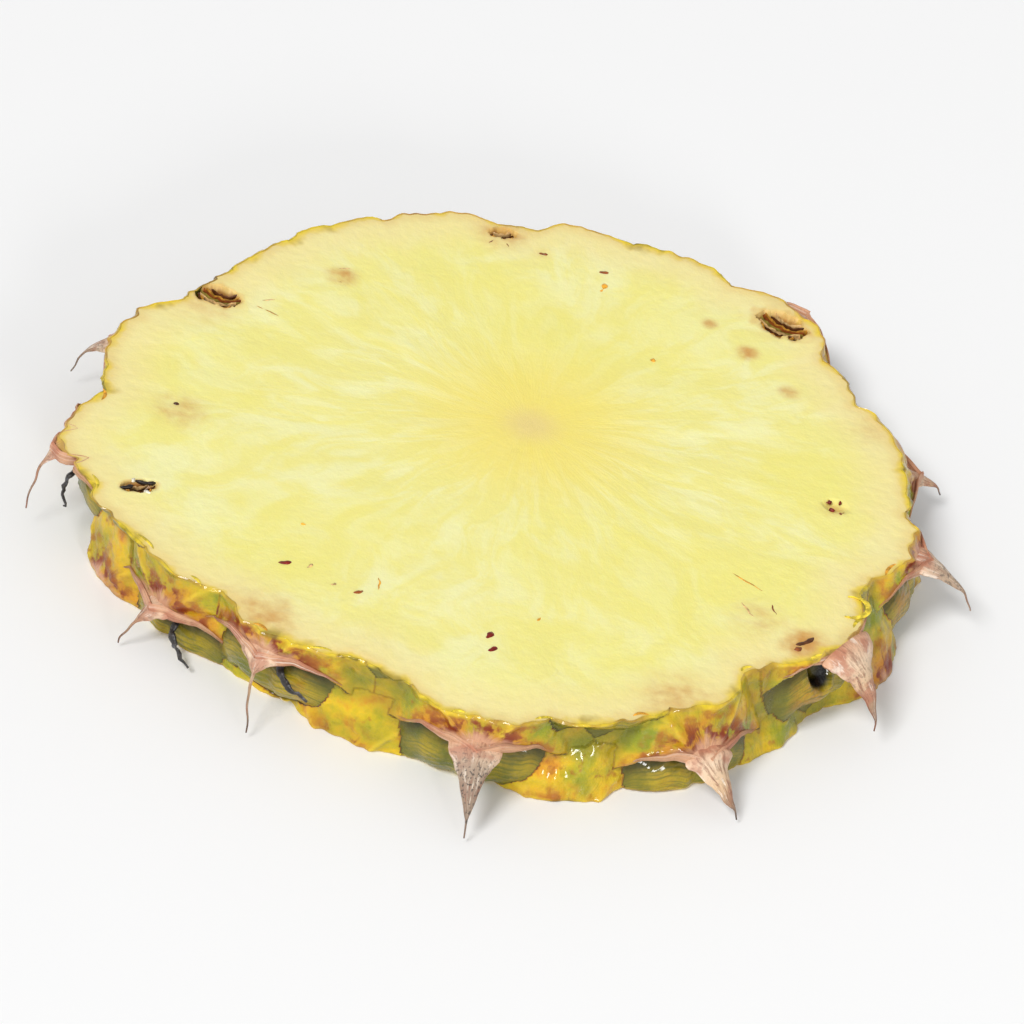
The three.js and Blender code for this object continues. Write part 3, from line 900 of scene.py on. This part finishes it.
# Dry bract: papery leaf, pink-brown where it joins the lip, cream and grey on the spike, with
# darker and paler veins along it, specks of mould, and a dark tip where it has withered
SPECK_SIZE = 0.4
BLUSH_SIZE = 3.33
dry_bract, tree = new_material("papery_dry_bract")
reach_at, across_at, key_at, mould_at = [
    add(tree, "Attribute", attribute_name=name, out=2)
    for name in ("reach", "across", "key", "mould")
]
where = add(tree, "TexCoord", out=3)
vein_at = add(tree, "CombineXYZ", {0: across_at, 1: reach_at, 2: key_at})
vein_at = add(tree, "VectorMath", {0: vein_at, 1: (3.4, 3.2, 3.1)}, operation="MULTIPLY")
veins = add(tree, "TexNoise", {"Vector": vein_at, "Scale": 1.0, "Detail": 5.0, "Roughness": 0.65})
speck, blush = [
    add(tree, "TexNoise", {"Vector": where, "Scale": per_metre(size), "Detail": 3.0})
    for size in (SPECK_SIZE, BLUSH_SIZE)
]
on_spike = add(tree, "MapRange", {0: reach_at, 1: 0.14, 2: 0.42})
greyness = add(tree, "Math", {0: on_spike, 1: mould_at}, operation="MULTIPLY")
veining = add(tree, "Math", {0: on_spike, 1: 0.3, 2: 0.5}, operation="MULTIPLY_ADD")
speckling = add(tree, "Math", {0: greyness, 1: 0.7, 2: 0.1}, operation="MULTIPLY_ADD")
bract_colour = add(
    tree,
    "ValToRGB",
    {0: reach_at},
    stops=(
        (0.0, "#ae7a44"), (0.12, "#d3a180"), (0.30, "#e0c4a6"),
        (0.55, "#d3b28c"), (0.82, "#9a765c"), (1.0, "#3a2e28"),
    ),
)
bract_colour = stained(
    tree,
    bract_colour,
    (
        ("#ab6248", 0.65, (blush, 0.48, 0.62)),
        ("#94806f", 0.85, (greyness, 0.0, 1.0)),
        ("#84523c", veining, (veins, 0.53, 0.66)),
        ("#f2e4d2", 0.65, (veins, 0.46, 0.34)),
        ("#433b37", speckling, (speck, 0.53, 0.62)),
    ),
)
bract_bump = add(tree, "Bump", {"Height": veins, "Strength": 0.8, "Distance": 0.4 * MM})
shader = add(
    tree,
    "BsdfPrincipled",
    {"Base Color": bract_colour, "Roughness": 0.55, "Normal": bract_bump, "IOR": 1.45},
)
add(tree, "OutputMaterial", {"Surface": shader})
bracts.data.materials.append(dry_bract)

# ----------------------------------------
# The flowers' remains: black withered petals, each dried to a thin twisted thread that is
# rooted inside the rind and still curls out from under a lip.

CURLS = (
    dict(angle=198.0, height=11.0, out=2.6, down=4.6, lean=3.4),
    dict(angle=224.5, height=4.6, out=2.4, down=3.4, lean=6.2),
    dict(angle=242.5, height=8.2, out=2.0, down=2.8, lean=6.0),
)
CURL_STEPS = 22
CURL_WIDE, CURL_THINNING = 0.66, 0.42
CURL_LUMPY = 0.6
CURL_KINK = 0.9
curl_limbs = new_limbs()
for number, curl in enumerate(CURLS):
    outward = towards(curl["angle"])
    sideways = UP.cross(outward)
    root = rind_point(curl["angle"], curl["height"], -1.0)
    tip = root + outward * (curl["out"] + 1.0) + sideways * curl["lean"]
    tip.z = max(curl["height"] - curl["down"], 0.6)
    bend = root + outward * (curl["out"] + 1.8) - UP * 0.5 * curl["down"]
    path = bent_path(root, bend, tip, CURL_STEPS)
    half_wide, half_thick = [], []
    for step in range(CURL_STEPS):
        t = step / (CURL_STEPS - 1)
        lumpy = 1.0 + CURL_LUMPY * noise.noise(Vector((t * 9.0, number, 3.0)))
        half_wide.append((CURL_WIDE - CURL_THINNING * t**2) * lumpy)
        half_thick.append(0.55 * half_wide[-1])
        kink = Vector([noise.noise(Vector((t * 6.0, number, axis))) for axis in (1.0, 4.0, 7.0)])
        path[step] = path[step] + CURL_KINK * kink * t
        path[step].z = max(path[step].z, 0.6)
    loft(curl_limbs, path, sideways + 0.6 * UP, half_wide, half_thick)
curls = make_piece("withered_petals", curl_limbs["points"], curl_limbs["faces"], {})

# Withered petal: brown-black dry tissue, finely crinkled, with a faint sheen, and grey-blue
# painted highlights on the highest crinkles
CRINKLE_SIZE = 1.11
withered_petal, tree = new_material("withered_petal")
where = add(tree, "TexCoord", out=3)
crinkle = add(tree, "TexNoise", {"Vector": where, "Scale": per_metre(CRINKLE_SIZE), "Detail": 4.0})
petal_colour = add(
    tree,
    "ValToRGB",
    {0: crinkle},
    stops=((0.35, "#1c1a1a"), (0.6, "#34302e"), (0.75, "#6d7078")),
)
petal_bump = add(tree, "Bump", {"Height": crinkle, "Strength": 0.9, "Distance": 0.4 * MM})
shader = add(
    tree,
    "BsdfPrincipled",
    {"Base Color": petal_colour, "Roughness": 0.4, "Normal": petal_bump},
)
add(tree, "OutputMaterial", {"Surface": shader})
curls.data.materials.append(withered_petal)

# ----------------------------------------
# What the knife laid bare: seeds, torn threads of old flowers, the woody walls inside the
# hollows, and shreds of yellow skin along the upper rim. All lie half sunk in the flesh, and
# each is a small closed limb with a tint of its own.

TINTS = dict(
    seed="#7c1d12",
    brown="#8e4a1c",
    umber="#5a3216",
    amber="#e0a030",
    sand="#d9b277",
    white="#f2ecd6",
    ochre="#c48c34",
    olive="#8c7a34",
    black="#2a211c",
    lemon="#e6cc3c",
)
# On the upper face: middle, length, width, direction, tint
SEEDS = (
    (1.2, -41.0, 1.9, 1.0, 70, "seed"),
    (1.9, -43.9, 1.8, 1.0, 50, "seed"),
    (-16.8, -37.3, 1.7, 0.8, 35, "brown"),
    (-27.1, -34.0, 1.9, 0.8, 20, "seed"),
    (-23.8, -33.7, 1.3, 0.5, 60, "sand"),
    (-20.3, -36.7, 1.0, 0.4, 30, "sand"),
    (16.5, 27.1, 1.0, 0.8, 0, "amber"),
    (7.7, 46.1, 2.0, 0.8, 15, "brown"),
    (7.9, 42.3, 2.6, 1.0, 80, "amber"),
    (-1.5, 47.8, 1.4, 0.8, 0, "brown"),
    (42.7, -29.7, 3.8, 1.1, 48, "umber"),
    (41.6, -31.6, 1.6, 0.7, 40, "brown"),
    (43.4, 2.0, 0.9, 0.6, 30, "seed"),
    (44.9, 2.3, 0.8, 0.5, 80, "seed"),
    (43.9, 0.3, 0.9, 0.6, -20, "seed"),
    (45.3, -0.2, 1.0, 0.6, 40, "brown"),
    (-46.6, -4.0, 0.9, 0.8, 0, "umber"),
    (-26.0, -25.1, 0.7, 0.5, 0, "amber"),
    (7.2, -35.7, 1.2, 0.4, 70, "amber"),
    (-47.9, -22.6, 3.0, 0.7, 5, "black"),
    (-50.0, -24.2, 2.0, 0.6, 30, "black"),
    (-47.2, -24.6, 1.1, 0.8, -30, "white"),
    (-49.4, -22.4, 0.9, 0.6, 60, "white"),
)
# Threads: where each starts and ends, and its tint
THREADS = (
    (29.2, -16.7, 36.2, -20.7, "amber"),
    (33.2, -23.7, 35.2, -26.7, "sand"),
    (37.2, -22.7, 38.2, -25.7, "brown"),
    (-39.8, 22.3, -35.0, 20.2, "ochre"),
    (-39.4, 23.4, -36.4, 24.6, "sand"),
    (-7.4, 50.0, -6.2, 47.2, "brown"),
    (-8.4, 50.0, -9.6, 47.6, "brown"),
    (-14.2, -36.2, -14.6, -33.4, "amber"),
    (-30.0, 34.6, -27.4, 35.2, "sand"),
    (-30.2, 31.8, -27.2, 31.4, "brown"),
)


def tinted(store, path, side, half_wide, half_thick, tint):
    """Adds a limb whose points all keep one tint."""
    red, green, blue, _ = linear(TINTS[tint])
    loft(
        store, path, side, half_wide, half_thick,
        corners=8, red=red, green=green, blue=blue,
    )


# Seeds lie half sunk, a little bowed and lumpy; the threads are finer and wander
BIT_STEPS = 8
SEED_SUNK, SEED_BOW, SEED_LUMPY, SEED_THICK = 0.22, 0.12, 0.9, 0.30
THREAD_SUNK, THREAD_WANDER, THREAD_THICKER = 0.16, 0.3, 0.12
bit_limbs = new_limbs("red", "green", "blue")
for x, y, long, wide, degrees, tint in SEEDS:
    ahead = towards(degrees)
    shares = [step / BIT_STEPS * 2.0 - 1.0 for step in range(BIT_STEPS + 1)]
    path = [Vector((x, y, THICK - SEED_SUNK)) + ahead * share * long / 2 for share in shares]
    path = [
        spot + UP.cross(ahead) * SEED_BOW * long * share**2 for spot, share in zip(path, shares)
    ]
    half_wide = []
    for share in shares:
        lumpy = 1.0 + SEED_LUMPY * noise.noise(Vector((x + share * 1.3, y, 3.0)))
        half_wide.append(max(0.04, 0.45 * wide * lumpy * math.sqrt(max(0.0, 1.0 - share**2))))
    half_thick = [SEED_THICK * value / max(half_wide) + 0.02 for value in half_wide]
    tinted(bit_limbs, path, UP.cross(ahead), half_wide, half_thick, tint)
for start_x, start_y, end_x, end_y, tint in THREADS:
    start = Vector((start_x, start_y, THICK - THREAD_SUNK))
    end = Vector((end_x, end_y, THICK - THREAD_SUNK))
    ahead = (end - start).normalized()
    path = []
    half_wide = []
    for step in range(BIT_STEPS + 1):
        t = step / BIT_STEPS
        wander = THREAD_WANDER * noise.noise(Vector((start_x + step * 0.5, start_y, 1.0)))
        path.append(start.lerp(end, t) + UP.cross(ahead) * wander)
        half_wide.append(0.04 + THREAD_THICKER * math.sin(math.pi * t))
    half_thick = [0.6 * value for value in half_wide]
    tinted(bit_limbs, path, UP.cross(ahead), half_wide, half_thick, tint)

# Walls this far apart stand nested in each hollow, ragged at their tops, each of its own tint
WALL_GAP = 0.7
WALL_HALF_THICK = 0.11
WALL_TINTS = ("ochre", "umber", "sand", "olive", "brown")
SHALLOW = 1.0
for upper, hollows in zip((True, False), HOLLOWS):
    for hollow in hollows:
        if hollow["deep"] < SHALLOW:
            continue
        ahead = towards(hollow["turn"])
        across = UP.cross(ahead)
        middle = Vector((hollow["x"], hollow["y"], 0.0))
        walls = max(3, round(hollow["wide"] / WALL_GAP))
        for wall in range(walls):
            share = (wall + 0.5) / walls * 1.6 - 0.8
            uneven = noise.noise(Vector((hollow["x"], wall * 1.7, 2.0)))
            reach = (0.95 + 0.25 * uneven) * hollow["long"] / 2 * math.sqrt(1.0 - share**2)
            path, half_wide, half_thick = [], [], []
            for step in range(13):
                t = step / 6 - 1.0
                floor = hollow["deep"] * (1.0 - 0.6 * t * t) * math.sqrt(1.0 - share**2)
                ragged = noise.noise(Vector((wall * 2.3, step * 0.6, 6.0)))
                top = 0.35 + 0.35 * (1.0 - t * t) + 0.5 * ragged
                half_wide.append(max(0.12, (floor - top) / 2))
                depth = max(top, 0.2) + half_wide[-1]
                aside = (share + (0.45 + 0.3 * uneven) * (t * t - 0.4)) * hollow["wide"] / 2
                spot = middle + ahead * reach * t + across * aside
                path.append(Vector((spot.x, spot.y, THICK - depth if upper else depth)))
                half_thick.append(WALL_HALF_THICK + 0.05 * ragged)
            tint = WALL_TINTS[wall % len(WALL_TINTS)]
            tinted(bit_limbs, path, UP, half_wide, half_thick, tint)

# Shreds of skin lie just inside the rim, all along the near half of the slice
SHREDS = 13
SHREDS_FROM = 185.0
SHREDS_SPAN = 180.0
SHRED_IN = 0.9
SHRED_LONG, SHRED_UNEVEN = 2.6, 2.2
SHRED_WIDE = 0.22
for shred in range(SHREDS):
    place_noise = noise.noise(Vector((shred * 3.7, 1.0, 9.0)))
    bearing = SHREDS_FROM + (shred + 0.8 * place_noise) * SHREDS_SPAN / SHREDS
    column = int(bearing / 360.0 * AROUND) % AROUND
    rim = float(radius[-1][column]) - SHRED_IN - 0.6 * abs(place_noise)
    outward = towards(bearing)
    drift = 0.6 * noise.noise(Vector((shred * 1.9, 5.0, 2.0)))
    ahead = (UP.cross(outward) + outward * drift).normalized()
    long = SHRED_LONG + SHRED_UNEVEN * noise.noise(Vector((shred * 2.3, 7.0, 4.0)))
    path = []
    half_wide = []
    for step in range(BIT_STEPS + 1):
        t = step / BIT_STEPS * 2.0 - 1.0
        spot = outward * rim + ahead * t * long / 2 + outward * 0.4 * t * t
        path.append(spot + UP * (THICK - 0.12))
        half_wide.append(0.05 + SHRED_WIDE * math.cos(math.pi / 2 * t) ** 0.7)
    half_thick = [0.5 * value for value in half_wide]
    tinted(bit_limbs, path, outward, half_wide, half_thick, "lemon" if shred % 4 else "amber")

# A strip of rim skin, loose at both ends, curls up round this place beside the highest bract
STRIP_STEPS = 12
STRIP_X, STRIP_Y = 48.0, -20.6
STRIP_RADIUS = 2.3
STRIP_FROM, STRIP_TURN = -110.0, 18.0
strip_path = []
strip_wide = []
for step in range(STRIP_STEPS + 1):
    arch = math.sin(math.pi * step / STRIP_STEPS)
    spot = Vector((STRIP_X, STRIP_Y, THICK - 0.05 + 0.25 * arch))
    strip_path.append(spot + towards(STRIP_FROM + step * STRIP_TURN) * STRIP_RADIUS)
    strip_wide.append(0.14 + 0.28 * arch)
strip_thick = [0.6 * value for value in strip_wide]
tinted(bit_limbs, strip_path, Vector((1.0, 0.0, 0.0)), strip_wide, strip_thick, "lemon")
colours = np.array([bit_limbs["values"][name] for name in ("red", "green", "blue")]).T
bits = make_piece("seeds_and_shreds", bit_limbs["points"], bit_limbs["faces"], {"tint": colours})

# Woody bits: hard dry tissue in its own tint, slightly mottled, which the juice makes glisten
GRAIN_SIZE = 0.667
woody_bits, tree = new_material("woody_bits")
tint_at = add(tree, "Attribute", attribute_name="tint", out=1)
where = add(tree, "TexCoord", out=3)
grain = add(tree, "TexNoise", {"Vector": where, "Scale": per_metre(GRAIN_SIZE), "Detail": 3.0})
darker = add(tree, "MapRange", {0: grain, 1: 0.35, 2: 0.65, 3: 0.55, 4: 1.25})
bit_colour = add(tree, "VectorMath", {0: tint_at, "Scale": darker}, operation="SCALE")
bit_bump = add(tree, "Bump", {"Height": grain, "Strength": 0.6, "Distance": 0.2 * MM})
shader = add(
    tree,
    "BsdfPrincipled",
    {"Base Color": bit_colour, "Roughness": 0.38, "Normal": bit_bump, "IOR": 1.4},
)
add(tree, "OutputMaterial", {"Surface": shader})
bits.data.materials.append(woody_bits)

# ----------------------------------------
# The stage: a plain white table in a pale room, a broad key lamp from the left, a small front
# lamp that picks out the wet glints on the rind, and the camera above the near edge.

TABLE_HALF = 4.0
corners = [(x * TABLE_HALF, y * TABLE_HALF, 0.0) for x, y in ((-1, -1), (1, -1), (1, 1), (-1, 1))]
table_mesh = bpy.data.meshes.new("table")
table_mesh.from_pydata(corners, [], [(0, 1, 2, 3)])
table = bpy.data.objects.new("table", table_mesh)
bpy.context.scene.collection.objects.link(table)
white_table, tree = new_material("white_laminate")
shader = add(tree, "BsdfPrincipled", {"Base Color": "#f2f2f2", "Roughness": 0.6})
add(tree, "OutputMaterial", {"Surface": shader})
table_mesh.materials.append(white_table)

# The room glows, brightest at the level of the table, so that the far table fades into it
HORIZON_GLOW, HIGH_GLOW = 0.86, 0.5
world = bpy.data.worlds.new("studio")
world.use_nodes = True
bpy.context.scene.world = world
tree = world.node_tree
glow = tree.nodes["Background"]
glow.inputs["Color"].default_value = (1.0, 1.0, 1.0, 1.0)
direction = add(tree, "TexCoord")
above_table = add(tree, "SeparateXYZ", {0: direction}, out=2)
strength = {0: above_table, 1: 0.0, 2: 0.35, 3: HORIZON_GLOW, 4: HIGH_GLOW}
strength = add(tree, "MapRange", strength)
tree.links.new(strength, glow.inputs["Strength"])

middle = (Vector(cad_low) + Vector(cad_high)) / 2


def place_lamp(light, place, power):
    """Sets a lamp at a place so that it looks at the slice."""
    light.energy = power
    lamp = bpy.data.objects.new(light.name, light)
    lamp.location = place
    lamp.rotation_euler = (middle - Vector(place)).to_track_quat("-Z", "Y").to_euler()
    bpy.context.scene.collection.objects.link(lamp)


# The key is a large lamp far away, so that it lights the whole table evenly
key_light = bpy.data.lights.new("key", "SUN")
key_light.angle = math.radians(19.0)
place_lamp(key_light, (-0.4, -0.55, 0.8), 2.0)
front_light = bpy.data.lights.new("front", "AREA")
front_light.size = 0.16
place_lamp(front_light, (0.35, -0.9, 0.3), 3.0)

VIEW_LIFT = 37.0
VIEW_ROLL = 10.8
VIEW_FAR = 0.8
camera_data = bpy.data.cameras.new("camera")
camera_data.sensor_width = 36.0
camera_data.lens = 205.0
camera = bpy.data.objects.new("camera", camera_data)
aim = Vector((0.001, -0.002, 0.004))
lift = math.radians(VIEW_LIFT)
camera.location = aim + Vector((0.0, -math.cos(lift), math.sin(lift))) * VIEW_FAR
look = (aim - camera.location).to_track_quat("-Z", "Y")
roll = Quaternion((0.0, 0.0, 1.0), math.radians(VIEW_ROLL))
camera.rotation_euler = (look @ roll).to_euler()
bpy.context.scene.collection.objects.link(camera)
bpy.context.scene.camera = camera
bpy.context.scene.view_settings.view_transform = "Standard"
